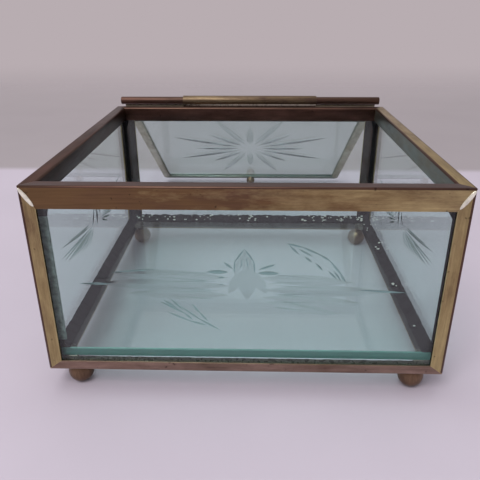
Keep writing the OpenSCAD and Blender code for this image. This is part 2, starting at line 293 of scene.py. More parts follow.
def aged_brass(name, look, axis):
    """Rolled brass sheet left to tarnish: a soft brushed sheen under matt brown and reddish patches."""
    finishes = settings("casket_finishes")
    clean, patina, russet = (opaque(getattr(finishes, key)) for key in BRASS_LOOKS[look][:3])
    spread, gains = BRASS_LOOKS[look][3:]
    turn, start, end = ROLLED_ALONG[axis]
    material, tree = new_material(name)
    place = add(tree, "TexCoord").outputs["Object"]
    turned = add(tree, "Mapping", {"Vector": place, "Rotation": turn}).outputs[0]
    drawn = add(tree, "Mapping", {"Vector": turned, "Scale": (0.3, 1, 1)}).outputs[0]
    rolled = add(tree, "Mapping", {"Vector": turned, "Scale": (0.04, 1, 1)}).outputs[0]
    patches = add(tree, "TexNoise", {"Vector": drawn, "Scale": per_mm(5), "Detail": 8, "Roughness": 0.7})
    blush = add(tree, "TexNoise", {"Vector": drawn, "Scale": per_mm(12), "Detail": 3, "Roughness": 0.55})
    lines = add(tree, "TexNoise", {"Vector": rolled, "Scale": per_mm(0.5), "Detail": 3, "Roughness": 0.6})
    spots = add(tree, "TexNoise", {"Vector": place, "Scale": per_mm(1.6), "Detail": 2})
    along_sheet = add(tree, "SeparateXYZ", {0: turned})
    even = 1.1  # what the patches' noise, times its gain, adds on average
    gain = add(tree, "MapRange", {"Value": along_sheet.outputs["X"], "From Min": start, "From Max": end,
                                  "To Min": spread + gains[0] - even, "To Max": spread + gains[1] - even})
    covered = add(tree, "Math", {0: patches.outputs["Fac"], 1: 2 * even, 2: gain.outputs[0]},
                  operation="MULTIPLY_ADD", use_clamp=True)
    reddened = add(tree, "MapRange", {"Value": blush.outputs["Fac"], "From Min": 0.44, "From Max": 0.66})
    scored = add(tree, "MapRange", {"Value": lines.outputs["Fac"], "From Min": 0.3, "From Max": 0.7,
                                    "To Min": 0.84, "To Max": 1.12})
    specked = add(tree, "MapRange", {"Value": spots.outputs["Fac"], "From Min": 0.7, "From Max": 0.76,
                                     "To Min": 1.0, "To Max": 0.45})
    tone = add(tree, "Math", {0: scored.outputs[0], 1: specked.outputs[0]}, operation="MULTIPLY")
    tarnish = add(tree, "Mix", {MIX_FACTOR: reddened.outputs[0], MIX_A: patina, MIX_B: russet},
                  data_type="RGBA")
    base = add(tree, "Mix", {MIX_FACTOR: covered.outputs[0], MIX_A: clean,
                             MIX_B: tarnish.outputs[MIX_RESULT]}, data_type="RGBA")
    shade = add(tree, "VectorMath", {0: base.outputs[MIX_RESULT], "Scale": tone.outputs[0]},
                operation="SCALE")
    matt = add(tree, "MapRange", {"Value": covered.outputs[0], "To Min": 0.3, "To Max": 0.48})
    dull = add(tree, "MapRange", {"Value": covered.outputs[0], "To Min": 1.0, "To Max": 0.8})
    relief = add(tree, "Bump", {"Height": lines.outputs["Fac"], "Strength": 0.16, "Distance": 0.05 * MM})
    metal = add(tree, "BsdfPrincipled", {"Base Color": shade.outputs[0], "Metallic": dull.outputs[0],
                                         "Roughness": matt.outputs[0], "Normal": relief.outputs[0]})
    add(tree, "OutputMaterial", {"Surface": metal.outputs[0]})
    return material


def glass(name, tint, roughness, transmission, grit=0.0):
    """Soda-lime glass: its tint is what one face lets through. Shadow rays go straight through it.

    grit is the width of the scratches left by grinding, or nothing where the face is polished."""
    material, tree = new_material(name)
    looks = {"Base Color": opaque(tint), "Roughness": roughness, "IOR": 1.52,
             "Transmission Weight": transmission}
    if grit:
        place = add(tree, "TexCoord").outputs["Object"]
        scratches = add(tree, "TexNoise", {"Vector": place, "Scale": per_mm(grit / MM), "Detail": 2})
        relief = add(tree, "Bump", {"Height": scratches.outputs["Fac"], "Strength": 0.2,
                                    "Distance": 0.05 * MM})
        looks["Normal"] = relief.outputs[0]
    surface = add(tree, "BsdfPrincipled", looks)
    path = add(tree, "LightPath")
    clear = add(tree, "BsdfTransparent", {"Color": opaque(settings("casket_finishes").glass)})
    either = add(tree, "MixShader", {0: path.outputs["Is Shadow Ray"], 1: surface.outputs[0],
                                     2: clear.outputs[0]})
    add(tree, "OutputMaterial", {"Surface": either.outputs[0]})
    return material


def float_glass(name):
    """Float glass, polished by the fire: a clear sea green."""
    return glass(name, settings("casket_finishes").glass, 0.0, 1.0)


def pale_float_glass(name):
    """Float glass low in iron: paler and nearer to grey than the other panes."""
    return glass(name, settings("casket_finishes").pale_glass, 0.0, 1.0)


def ground_edge_painted_glow(name):
    """Edge of a cut pane, rubbed down with grit, so that it scatters instead of mirroring. Its bright sea
    green is a painted glow, standing in for light carried along inside the pane.
    """
    return glass(name, settings("casket_finishes").ground, 0.45, 0.5, grit=0.5 * MM)


def matt_cut(name):
    """Broad cut of a soft wheel left unpolished: a faint grey veil that blurs what lies behind."""
    return glass(name, settings("casket_finishes").matt, 0.14, 1.0, grit=0.35 * MM)


def line_cut(name):
    """Narrow V-cut: its steep walls turn the light away, so it draws a dark sea green line."""
    return glass(name, settings("casket_finishes").line, 0.25, 0.9, grit=0.3 * MM)


def soft_solder(name, tone="solder", dullest=0.3):
    """Tin and lead solder, wiped while soft: bright where smooth, duller where it went grainy.

    It is only partly metallic, so that with the near-white solder colour its diffuse share lights up the rim
    beads: a painted highlight."""
    bright = getattr(settings("casket_finishes"), tone)
    material, tree = new_material(name)
    place = add(tree, "TexCoord").outputs["Object"]
    grain = add(tree, "TexNoise", {"Vector": place, "Scale": per_mm(1.1), "Detail": 3, "Roughness": 0.55})
    grainy = add(tree, "MapRange", {"Value": grain.outputs["Fac"], "From Min": 0.35, "From Max": 0.65})
    shade = add(tree, "MapRange", {"Value": grainy.outputs[0], "To Min": 1.0, "To Max": 0.72})
    base = add(tree, "VectorMath", {0: bright, "Scale": shade.outputs[0]}, operation="SCALE")
    matt = add(tree, "MapRange", {"Value": grainy.outputs[0], "To Min": 0.14, "To Max": dullest})
    relief = add(tree, "Bump", {"Height": grain.outputs["Fac"], "Strength": 0.2, "Distance": 0.1 * MM})
    # Painted highlight: the diffuse share brightens the beads beyond what the metal reflects.
    metal = add(tree, "BsdfPrincipled", {"Base Color": base.outputs[0], "Metallic": 0.65,
                                         "Roughness": matt.outputs[0], "Normal": relief.outputs[0]})
    add(tree, "OutputMaterial", {"Surface": metal.outputs[0]})
    return material


def stained_solder(name):
    """Solder with flux burnt on to it: brown and dull."""
    return soft_solder(name, "stain", 0.5)


def putty(name):
    """Glazier's putty pressed into a corner and greened by the brass: a dull grey-green."""
    return mastic(name, "putty")


def mastic(name, tone="seal"):
    """Bituminous sealing compound, smoothed with a finger: near black, with a faint broken sheen."""
    dark = getattr(settings("casket_finishes"), tone)
    material, tree = new_material(name)
    place = add(tree, "TexCoord").outputs["Object"]
    lumps = add(tree, "TexNoise", {"Vector": place, "Scale": per_mm(1.8), "Detail": 3})
    shade = add(tree, "MapRange", {"Value": lumps.outputs["Fac"], "From Min": 0.3, "From Max": 0.7,
                                   "To Min": 0.6, "To Max": 1.7})
    base = add(tree, "VectorMath", {0: dark, "Scale": shade.outputs[0]}, operation="SCALE")
    matt = add(tree, "MapRange", {"Value": lumps.outputs["Fac"], "To Min": 0.45, "To Max": 0.75})
    relief = add(tree, "Bump", {"Height": lumps.outputs["Fac"], "Strength": 0.4, "Distance": 0.2 * MM})
    paste = add(tree, "BsdfPrincipled", {"Base Color": base.outputs[0], "Roughness": matt.outputs[0],
                                         "Specular IOR Level": 0.08, "Normal": relief.outputs[0]})
    add(tree, "OutputMaterial", {"Surface": paste.outputs[0]})
    return material


def dried_glue(name):
    """Clear glue gone milky as it dried, in grains."""
    milky = settings("casket_finishes").glue
    material, tree = new_material(name)
    place = add(tree, "TexCoord").outputs["Object"]
    cloud = add(tree, "TexNoise", {"Vector": place, "Scale": per_mm(1.5), "Detail": 2})
    shade = add(tree, "MapRange", {"Value": cloud.outputs["Fac"], "To Min": 0.5, "To Max": 1.1})
    base = add(tree, "VectorMath", {0: milky, "Scale": shade.outputs[0]}, operation="SCALE")
    drop = add(tree, "BsdfPrincipled", {"Base Color": base.outputs[0], "Roughness": 0.28, "IOR": 1.49})
    add(tree, "OutputMaterial", {"Surface": drop.outputs[0]})
    return material


MAKERS = {
    "float_glass": float_glass,
    "pale_float_glass": pale_float_glass,
    "ground_glass_edge": ground_edge_painted_glow,
    "matt_cut_glass": matt_cut,
    "line_cut_glass": line_cut,
    "soft_solder": soft_solder,
    "flux_stained_solder": stained_solder,
    "bitumen_mastic": mastic,
    "glaziers_putty": putty,
    "dried_glue": dried_glue,
}


def brass(look, axis):
    """Name of the aged brass of that look, rolled along that axis."""
    return f"aged_brass_{look}_{axis}"


def finish_of(name):
    """The material of that name, made the first time that it is asked for."""
    if name in bpy.data.materials:
        return bpy.data.materials[name]
    if name in MAKERS:
        return MAKERS[name](name)
    look, axis = name.removeprefix("aged_brass_").rsplit("_", 1)
    return aged_brass(name, look, axis)


# ---- modelling ----

def only(*objects):
    """Selects these objects and nothing else, and makes the first one active."""
    if bpy.context.mode != "OBJECT":
        bpy.ops.object.mode_set(mode="OBJECT")
    bpy.ops.object.select_all(action="DESELECT")
    for obj in objects:
        obj.select_set(True)
    if objects:
        bpy.context.view_layer.objects.active = objects[0]


def settle(obj, matrix=None):
    """Moves the object, if a matrix is given, and puts its place into its mesh."""
    if matrix is not None:
        obj.matrix_world = matrix @ obj.matrix_world
    only(obj)
    bpy.ops.object.transform_apply(location=True, rotation=True, scale=True)
    return obj


def started(name):
    """The primitive that was just added, named and with its place in its mesh."""
    obj = bpy.context.active_object
    obj.name = obj.data.name = name
    return settle(obj)


def block(name, low, high):
    only()
    low, high = Vector(low), Vector(high)
    bpy.ops.mesh.primitive_cube_add(size=1, location=(low + high) / 2, scale=high - low)
    return started(name)


def edit(obj, kind):
    """Opens the object's mesh with nothing selected, to pick among its VERT, EDGE or FACE."""
    only(obj)
    bpy.ops.object.mode_set(mode="EDIT")
    bpy.ops.mesh.select_mode(type=kind)
    bpy.ops.mesh.select_all(action="DESELECT")


def pick(obj, kind, wanted):
    """In edit mode, selects what wanted accepts, by the middle of each and, for a face, its normal."""
    bpy.ops.mesh.select_mode(type=kind)
    bpy.ops.mesh.select_all(action="DESELECT")
    mesh = bmesh.from_edit_mesh(obj.data)
    if kind == "VERT":
        for v in mesh.verts:
            v.select_set(bool(wanted(v.co)))
    elif kind == "EDGE":
        for e in mesh.edges:
            e.select_set(bool(wanted((e.verts[0].co + e.verts[1].co) / 2)))
    else:
        for f in mesh.faces:
            f.select_set(bool(wanted(f.calc_center_median(), f.normal)))
    mesh.select_flush_mode()
    bmesh.update_edit_mesh(obj.data)


def done():
    bpy.ops.object.mode_set(mode="OBJECT")


def face_out(obj):
    """Turns every face of a closed mesh outwards."""
    edit(obj, "FACE")
    bpy.ops.mesh.select_all(action="SELECT")
    bpy.ops.mesh.normals_make_consistent(inside=False)
    done()


def modify(obj, kind, **options):
    """Adds a modifier and applies it."""
    only(obj)
    modifier = obj.modifiers.new(kind.title(), kind)
    for name, value in options.items():
        setattr(modifier, name, value)
    bpy.ops.object.modifier_apply(modifier=modifier.name)


def slice_off(obj, point, outwards):
    """Cuts away what lies past a plane, and closes the cut."""
    edit(obj, "FACE")
    bpy.ops.mesh.select_all(action="SELECT")
    bpy.ops.mesh.bisect(plane_co=point, plane_no=outwards, use_fill=True, clear_outer=True,
                        threshold=NEAR / 10)
    done()


def round_edges(obj, width, segments=2, sharper_than=30, slot=-1):
    """Rounds the edges. The rounding takes the finish of a slot, or its neighbours' where slot is -1."""
    modify(obj, "BEVEL", width=width, segments=segments, limit_method="ANGLE",
           angle_limit=math.radians(sharper_than), use_clamp_overlap=True, material=slot)


def smooth(obj, up_to=35):
    only(obj)
    bpy.ops.object.shade_smooth_by_angle(angle=math.radians(up_to))


def copy_of(obj, name):
    twin = obj.copy()
    twin.data = obj.data.copy()
    twin.name = twin.data.name = name
    bpy.context.scene.collection.objects.link(twin)
    return twin


def join(name, objects):
    only(*objects)
    bpy.ops.object.join()
    objects[0].name = objects[0].data.name = name
    return objects[0]


def discard(obj):
    mesh = obj.data
    bpy.data.objects.remove(obj)
    bpy.data.meshes.remove(mesh)


def wear(obj, *names):
    """Gives the object its materials, in the order of its slots."""
    kept = [p.material_index for p in obj.data.polygons]
    obj.data.materials.clear()
    for name in names:
        obj.data.materials.append(finish_of(name))
    for polygon, index in zip(obj.data.polygons, kept):
        polygon.material_index = min(index, len(names) - 1)


def hand_over(obj, body, node=None):
    """Tells the frame which body carries the piece, and hides the node that it stands for."""
    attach(obj, body)
    if node:
        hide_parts(node)


# ---- sides and corners ----

SIDES = ("front", "right", "rear", "left")  # each a quarter turn on from the last
SIDE_AXIS = {"front": "x", "right": "y", "rear": "x", "left": "y"}
OUTWARDS = {"front": (0, -1, 0), "right": (1, 0, 0), "rear": (0, 1, 0), "left": (-1, 0, 0)}
CORNERS = {"front_left": (1, 1), "front_right": (-1, 1), "rear_left": (1, -1), "rear_right": (-1, -1)}


def to_side(obj, side, width, depth, z):
    """Takes what lies along X, its inside towards +Y, to one side of a rectangle about the box's middle."""
    out = depth / 2 if SIDE_AXIS[side] == "x" else width / 2
    settle(obj, Matrix.Translation((0, BOX_Y, z)) @ Matrix.Rotation(SIDES.index(side) * QUARTER, 4, "Z")
           @ Matrix.Translation((0, -out, 0)))


def to_corner(obj, corner, z, inset=0.0):
    """Takes what is drawn for the front left corner, seen from its own origin, to a corner of the box."""
    x, y = CORNERS[corner]
    place = Matrix.Translation((-x * (BOX_W / 2 - inset), BOX_Y - y * (BOX_D / 2 - inset), z))
    settle(obj, place @ Matrix.Diagonal((x, y, 1, 1)))
    face_out(obj)


def post_leg(side, brass_sizes):
    """Width of the leg that a post lays on that side of the box, at the post's front or rear place."""
    return brass_sizes.post_leg if side == "front" else brass_sizes.post_wide_leg


# ---- folded brass sections ----

# Slots of a folded section's faces. Their insides follow in the same order, and then its cut edges.
OUTER, WEB, INNER, FOLD = range(4)
LAYER = 4
EDGE = 2 * LAYER


def folded(name, run, web, outer, inner, drawn_in, notched, fold, sheet):
    """A section folded from sheet, along X, with its web up and its outer leg hanging at y = 0.

    run is its length; web, outer and inner are its widths round the folds. drawn_in is how much
    shorter the web and the inner leg are at each end, and notched how much shorter the outer
    leg's free edge is."""
    only()
    bpy.ops.mesh.primitive_plane_add(size=1, location=(0, web / 2, 0))
    obj = bpy.context.active_object
    obj.scale = (run, web, 1)
    obj = started(name)
    edit(obj, "EDGE")
    pick(obj, "EDGE", lambda p: abs(p.y) < NEAR)
    bpy.ops.mesh.extrude_region_move(TRANSFORM_OT_translate={"value": (0, 0, -outer)})
    if inner:
        pick(obj, "EDGE", lambda p: abs(p.y - web) < NEAR)
        bpy.ops.mesh.extrude_region_move(TRANSFORM_OT_translate={"value": (0, 0, -inner)})
    for end, side in enumerate((-1, 1)):
        pick(obj, "VERT", lambda p: p.x * side > 0 and p.y > NEAR)
        bpy.ops.transform.translate(value=(-side * drawn_in[end], 0, 0))
        pick(obj, "VERT", lambda p: p.x * side > 0 and p.y < NEAR and p.z < -NEAR)
        bpy.ops.transform.translate(value=(-side * notched[end], 0, 0))
    bpy.ops.mesh.select_all(action="SELECT")
    bpy.ops.mesh.normals_make_consistent(inside=False)
    mesh = bmesh.from_edit_mesh(obj.data)
    if max(mesh.faces, key=lambda f: f.calc_center_median().z).normal.z < 0:
        bpy.ops.mesh.flip_normals()
    done()
    for slot in range(EDGE + 1):
        obj.data.materials.append(None)
    for polygon in obj.data.polygons:
        hangs = polygon.center.z < -NEAR
        polygon.material_index = WEB if not hangs else INNER if polygon.center.y > NEAR else OUTER
    edit(obj, "EDGE")
    pick(obj, "EDGE", lambda p: abs(p.z) < NEAR and (abs(p.y) < NEAR or (inner and abs(p.y - web) < NEAR)))
    bpy.ops.mesh.bevel(offset=fold, segments=4, affect="EDGES", material=FOLD)
    done()
    modify(obj, "SOLIDIFY", thickness=sheet, offset=-1, use_even_offset=True, use_rim=True,
           material_offset=LAYER)
    return obj


def mitre(obj, run):
    """Cuts both ends of a section along X at 45 degrees, from the outer corners inwards."""
    for side in (-1, 1):
        slice_off(obj, (side * run / 2, 0, 0), Vector((side, 1, 0)).normalized())


def finish_section(obj, axis, outer, web, inner, fold, inside, web_inside=None):
    """Dresses a folded section, each face in the brass of its own look."""
    faces = [outer, web, inner, fold, inside, web_inside or inside, inside, inside, "edge"]
    smooth(obj)
    wear(obj, *(brass(look, axis) for look in faces))


class CASKET_OT_rim(bpy.types.Operator):
    """Model the four channels of the top rim"""
    bl_idname = "casket.rim"
    bl_label = "Top rim"

    def execute(self, context):
        b = settings("casket_brass")
        past_mitre = 1 * MM
        for side in SIDES:
            run = BOX_W if SIDE_AXIS[side] == "x" else BOX_D
            drawn = CHANNEL_W - past_mitre
            notch = post_leg(side, b)
            channel = folded(f"rim_channel_{side}", run, CHANNEL_W, b.rim_leg, b.rim_inner_leg,
                             (drawn, drawn), (notch, notch), b.fold, b.sheet)
            mitre(channel, run)
            round_edges(channel, b.burr, slot=EDGE)
            to_side(channel, side, BOX_W, BOX_D, RIM_TOP)
            web = {"right": "side_rim", "left": "dull_rim"}.get(side, "fold")
            # The inner legs of the front, rear and left rims are painted near black as shade.
            inner = "tinned" if side == "right" else "inside"
            outer = {"right": "side_rim", "left": "dull_rim"}.get(side, "rim")
            finish_section(channel, SIDE_AXIS[side], outer, web, inner, "fold", "inside")
            hand_over(channel, "box", f"rim_{side}")
        return {"FINISHED"}


class CASKET_OT_bottom(bpy.types.Operator):
    """Model the four angles that carry the panes"""
    bl_idname = "casket.bottom"
    bl_label = "Bottom angles"

    def execute(self, context):
        b = settings("casket_brass")
        past_mitre = 1 * MM
        upside_down = Matrix.Rotation(math.pi, 4, "Y")
        for side in SIDES:
            run = BOX_W if SIDE_AXIS[side] == "x" else BOX_D
            drawn = b.bottom_flange - past_mitre
            notch = post_leg(side, b)
            angle = folded(f"bottom_rail_{side}", run, b.bottom_flange, b.bottom_leg, 0,
                           (drawn, drawn), (notch, notch), b.fold, b.sheet)
            mitre(angle, run)
            round_edges(angle, b.burr, slot=EDGE)
            settle(angle, upside_down)
            to_side(angle, side, BOX_W, BOX_D, FRAME_BOTTOM)
            # The flange top under the base pane (the web's inside) is painted near black as shade.
            finish_section(angle, SIDE_AXIS[side], "rail", "rail", "rail", "rail", "inside", "burnt")
            hand_over(angle, "box", f"bottom_angle_{side}")
        return {"FINISHED"}


class CASKET_OT_posts(bpy.types.Operator):
    """Model the corner posts: narrow on the front of the box, wide on its sides and its back"""
    bl_idname = "casket.posts"
    bl_label = "Corner posts"

    def execute(self, context):
        b = settings("casket_brass")
        run = RIM_TOP - FRAME_BOTTOM
        ends = (b.bottom_leg, b.rim_leg)
        upright = Matrix(((0, 0, -1, 0), (0, 1, 0, 0), (1, 0, 0, run / 2), (0, 0, 0, 1)))
        for corner, towards in CORNERS.items():
            front = towards[1] > 0
            cross_leg = post_leg("front" if front else "rear", b)
            post = folded(f"corner_post_{corner}", run, b.post_wide_leg, cross_leg, 0, ends, ends,
                          b.post_fold, b.sheet)
            round_edges(post, b.burr, slot=EDGE)
            settle(post, upright)
            to_corner(post, corner, FRAME_BOTTOM)
            # The posts' inner faces are painted shade (inside), except on the front posts, which are tinned.
            inside = "tinned" if front else "inside"
            finish_section(post, "z", "post", "post", "post", "fold", inside, inside if front else "burnt")
            hand_over(post, "box", f"post_{corner}")
        return {"FINISHED"}


# ---- lid edging ----

class CASKET_OT_lid_edging(bpy.types.Operator):
    """Model the lid's narrow edging as one ring and part it at the mitres"""
    bl_idname = "casket.lid_edging"
    bl_label = "Lid edging"

    def execute(self, context):
        b = settings("casket_brass")
        half = CHANNEL_W / 2
        ring = self.slab("lid_ring", 0, half, b.lid_corner)
        slot = self.slab("slot", b.sheet, half - b.sheet, b.lid_corner - b.sheet)
        window = self.slab("window", b.lid_leg, CHANNEL_W, 0)
        for cutter in (slot, window):
            modify(ring, "BOOLEAN", object=cutter, operation="DIFFERENCE", solver="EXACT")
            discard(cutter)
        middle = Vector((0, (LID_FRONT + LID_BACK) / 2, 0))
        half_size = Vector((LID_W / 2, (LID_BACK - LID_FRONT) / 2, 0))
        for side in SIDES:
            edging = copy_of(ring, f"lid_channel_{side}")
            outwards = Vector(OUTWARDS[side])
            for hand in (-1, 1):
                sideways = Vector((-outwards.y, outwards.x, 0)) * hand
                free_corner = middle + (outwards + sideways) * half_size
                slice_off(edging, free_corner, (sideways - outwards).normalized())
            round_edges(edging, b.burr * 2)
            for polygon in edging.data.polygons:
                polygon.material_index = 0
            settle(edging, LID_PLACE)
            smooth(edging)
            wear(edging, brass("tinned" if side == "front" else "lid", SIDE_AXIS[side]))
            hand_over(edging, "lid", f"lid_edging_{side}")
        discard(ring)
        return {"FINISHED"}

    def slab(self, name, inset, half, radius):
        """A plate over the lid's plan, drawn in by inset, its two front corners rounded."""
        low = (-LID_W / 2 + inset, LID_FRONT + inset, -half)
        high = (LID_W / 2 - inset, LID_BACK - inset, half)
        plate = block(name, low, high)
        if radius:
            edit(plate, "EDGE")
            pick(plate, "EDGE", lambda p: (abs(p.z) < NEAR and abs(p.y - low[1]) < NEAR
                                           and abs(p.x) > LID_W / 4))
            bpy.ops.mesh.bevel(offset=radius, segments=8, affect="EDGES")
            done()
        return plate


# ---- glass ----

# Cuts are (start, end, width) in millimetres from the middle of a pane, seen from outside.
BUD = [((0, 4.2), (0, 11.2), 1.9), ((-2.7, 3.4), (-0.8, 9.6), 1.7), ((2.7, 3.4), (0.8, 9.6), 1.7)]
HEART = [((0.8, 6.0), (0.8, -4.4), 5.0), ((0.0, 5.2), (-4.6, -2.4), 3.2), ((1.6, 5.2), (6.4, -2.4), 3.2)]
LEAVES = [
    ((-4.2, 2.6), (-37.4, 3.8), 3.4), ((-3.6, 0.0), (-43.4, 0.5), 3.6), ((-4.4, -3.0), (-33.5, -2.6), 3.4),
    ((4.0, 2.6), (30.5, 1.5), 3.4), ((5.0, -1.2), (40.2, -1.4), 3.6), ((5.0, -3.6), (33.0, -5.2), 3.4),
    ((6.0, -5.0), (27.0, -9.0), 3.2),
]
ACCENTS = [
    ((-10.6, 4.5), (-4.4, 4.4), 1.3), ((3.6, 4.2), (9.8, 4.2), 1.3), ((3.9, 5.2), (8.7, 7.0), 0.7),
    ((-3.2, 5.4), (-5.8, 7.6), 0.7), ((-7.8, 2.6), (-5.4, 2.7), 0.6), ((-7.4, 0.4), (-5.8, 0.4), 0.5),
]
# Outline of the bud, and the heavier strokes at the tips of the long leaves.
BUD_LINES = [
    ((-2.9, 4.0), (-2.6, 8.4), 0.45), ((-2.8, 7.4), (0.1, 11.8), 0.5), ((-1.2, 5.0), (-0.4, 9.4), 0.35),
    ((2.9, 4.0), (2.6, 8.4), 0.45), ((2.8, 7.4), (-0.1, 11.8), 0.5), ((1.2, 5.0), (0.4, 9.4), 0.35),
]
TIPS = [
    ((-47.0, 0.3), (-37.0, 0.3), 0.8), ((-37.6, 4.0), (-24.0, 5.2), 0.6), ((30.0, -0.8), (46.0, -1.6), 0.8),
]
# Strokes of a sprig, as points (along, left) in millimetres from its root in the direction that it grows.
SPRIGS = (
    ((-7.8, -14.4), 152, (
        ((0, 0), (6.1, -0.4), (12.5, -1.6)), ((8.2, 0.6), (10.8, -0.1), (17.9, -0.3)),
        ((4, 0.6), (8.4, 1.5), (14.7, 1.8)), ((14, -0.7), (17.7, -1.2)),
        ((4.2, -1.2), (7.1, -2.4), (10, -3.8)), ((12.3, -1.1), (16.1, -2.4)),
    )),
    ((11.9, 13.3), -28, (
        ((0, 0), (4.1, 1), (9.3, 1.3), (12.7, 1), (18.5, -1.5)), ((0.8, -0.3), (3.9, -1.3)),
        ((6.1, -1.2), (8.3, -1.7)), ((9.8, -1.6), (12.2, -2.4)), ((14.3, -2), (17.1, -2.9)),
        ((15.5, -1.3), (18.3, -2.7)), ((3.8, 0), (7.3, -0.1)), ((17.8, -1.5), (19.8, -2.5)),
    )),
)
# One side of the spray on the side panes.
FEATHERS = (
    ((6, -2.6), (40, 0)), ((7, -3), (35, -3)), ((6.5, -3.4), (30.5, -3.9)), ((6, -3.6), (23.5, -5.6)),
    ((5.5, -4), (17.5, -7.4)), ((5, -4.2), (13, -8)), ((9, -1.6), (32, 2.8)), ((12, -1.4), (38.5, 3.4)),
    ((14, -2.2), (37.5, -1.6)), ((13, -2.6), (33, -3.5)), ((11, -3.4), (27, -4.8)), ((9, -4), (20.5, -6.5)),
    ((10, -0.6), (27, 1.6)),
)


def wheel_cut_shape():
    """One cut of a V-edged wheel, 1 long, 1 wide and 1 deep, along X on the XY plane."""
    only()
    long, deep = 1.0, 0.1
    radius = (long * long / 4 + deep * deep) / (2 * deep)
    reach = math.asin(long / 2 / radius) * 1.25
    bpy.ops.mesh.primitive_circle_add(vertices=3, radius=1, fill_type="NGON")
    cutter = started("wheel_cut")
    edit(cutter, "VERT")
    pick(cutter, "VERT", lambda p: True)
    mesh = bmesh.from_edit_mesh(cutter.data)
    for v, place in zip(mesh.verts, ((0, 0, -deep), (0, 1, deep), (0, -1, deep))):
        v.co = place
    bmesh.update_edit_mesh(cutter.data)
    bpy.ops.mesh.spin(steps=12, angle=2 * reach, center=(0, 0, radius - deep), axis=(0, 1, 0))
    done()
    face_out(cutter)
    centre = Vector((0, 0, radius - deep))
    back = Matrix.Translation(centre) @ Matrix.Rotation(reach, 4, "Y") @ Matrix.Translation(-centre)
    settle(cutter, back)
    settle(cutter, Matrix.Diagonal((1, 1, 1 / deep, 1)))
    return cutter


def place_cut(shape, start, end, width, depth):
    """A copy of the unit cut from start to end, points (x, y) of the surface in millimetres."""
    a, b = Vector(start) * MM, Vector(end) * MM
    cut = copy_of(shape, "cut")
    turn = math.atan2(b.y - a.y, b.x - a.x)
    middle = (a + b) / 2
    settle(cut, Matrix.Translation((middle.x, middle.y, 0)) @ Matrix.Rotation(turn, 4, "Z")
           @ Matrix.Diagonal(((b - a).length, width * MM, depth * MM, 1)))
    return cut


def polar(way, distance):
    """The point that lies a distance from the middle in the direction way, in degrees."""
    return (distance * math.cos(math.radians(way)), distance * math.sin(math.radians(way)))


def sprig_lines(root, heading, strokes, width=0.6):
    """Fine cuts of one sprig. Each stroke's cuts overlap where it bends, so that it runs on."""
    grow = Matrix.Rotation(math.radians(heading), 2)
    lines = []
    for points in strokes:
        places = [Vector(root) + grow @ Vector(p) for p in points]
        for a, b in zip(places, places[1:]):
            past = (b - a) * 0.15
            lines.append((tuple(a - past), tuple(b + past), width))
    return lines


def feather_lines(width=0.7):
    """Fine cuts that fan out from the flower on a side pane, both ways."""
    return [((hand * a[0], a[1]), (hand * b[0], b[1]), width) for a, b in FEATHERS for hand in (-1, 1)]


def outlines(cuts, width):
    """Two fine cuts beside each broad one, which draw together at its tip."""
    off_middle = 0.42         # of the broad cut's width, at the foot
    first, last = 0.1, 0.97  # of the way along the broad cut
    lines = []
    for start, end, broad in cuts:
        foot, tip = Vector(start), Vector(end)
        aside = (tip - foot).orthogonal().normalized() * broad * off_middle
        for hand in (-1, 1):
            lines.append((tuple(foot.lerp(tip, first) + hand * aside), tuple(foot.lerp(tip, last)), width))
    return lines


def sunburst(glass_sizes):
    """Matt petals round a plain disc, long ones between short ones."""
    heart, width = glass_sizes.sun_heart / MM, glass_sizes.sun_width / MM
    petals = []
    for ray in range(glass_sizes.sun_rays):
        way = 360 / glass_sizes.sun_rays * ray
        reach = (glass_sizes.sun_long if ray % 2 else glass_sizes.sun_short) / MM
        petals.append((polar(way, heart), polar(way, reach), width))
    return petals


def engraving(name, broad, fine):
    """All cuts of one motif as a single cutter in the XY plane: shallow matt ones and steep narrow ones."""
    sizes = settings("casket_glass")
    shape = wheel_cut_shape()
    parts = []
    kinds = ((broad, sizes.matt_slope, "matt_cut_glass"), (fine, sizes.line_slope, "line_cut_glass"))
    for cuts, slope, finish in kinds:
        for start, end, width in cuts:
            part = place_cut(shape, start, end, width, width * slope)
            wear(part, finish)
            parts.append(part)
    discard(shape)
    return join(name, parts)


def engrave(pane, cutter, matrix):
    """Takes the motif out of a pane. matrix puts the cutter's XY plane on the pane's outer face."""
    tool = copy_of(cutter, "tool")
    settle(tool, matrix)
    modify(pane, "BOOLEAN", object=tool, operation="DIFFERENCE", solver="EXACT", use_self=True,
           material_mode="TRANSFER")
    discard(tool)


def new_pane(name, low, high, arris, faces="float_glass", sealed=lambda normal: False):
    """A pane with its edges ground: slot 0 is its faces, slot 1 its edges, slot 2 those that are sealed."""
    obj = block(name, low, high)
    thin = min(range(3), key=lambda i: high[i] - low[i])
    round_edges(obj, arris, segments=1)
    for polygon in obj.data.polygons:
        edge = 2 if sealed(polygon.normal) else 1
        polygon.material_index = 0 if abs(polygon.normal[thin]) > 0.9 else edge
    wear(obj, faces, "ground_glass_edge", "bitumen_mastic")
    return obj


def upright_edge(normal):
    """The upright edges of a side pane, which stand in the compound in the corners."""
    return abs(normal.z) < 0.5


def behind_front_edge(normal):
    """All edges of the base pane but the front one, which shows through the front pane."""
    return normal.y > -0.5


CUTS_STAY_SHARP = 3  # degrees: less than the gentlest wall of a cut leans from the pane's face


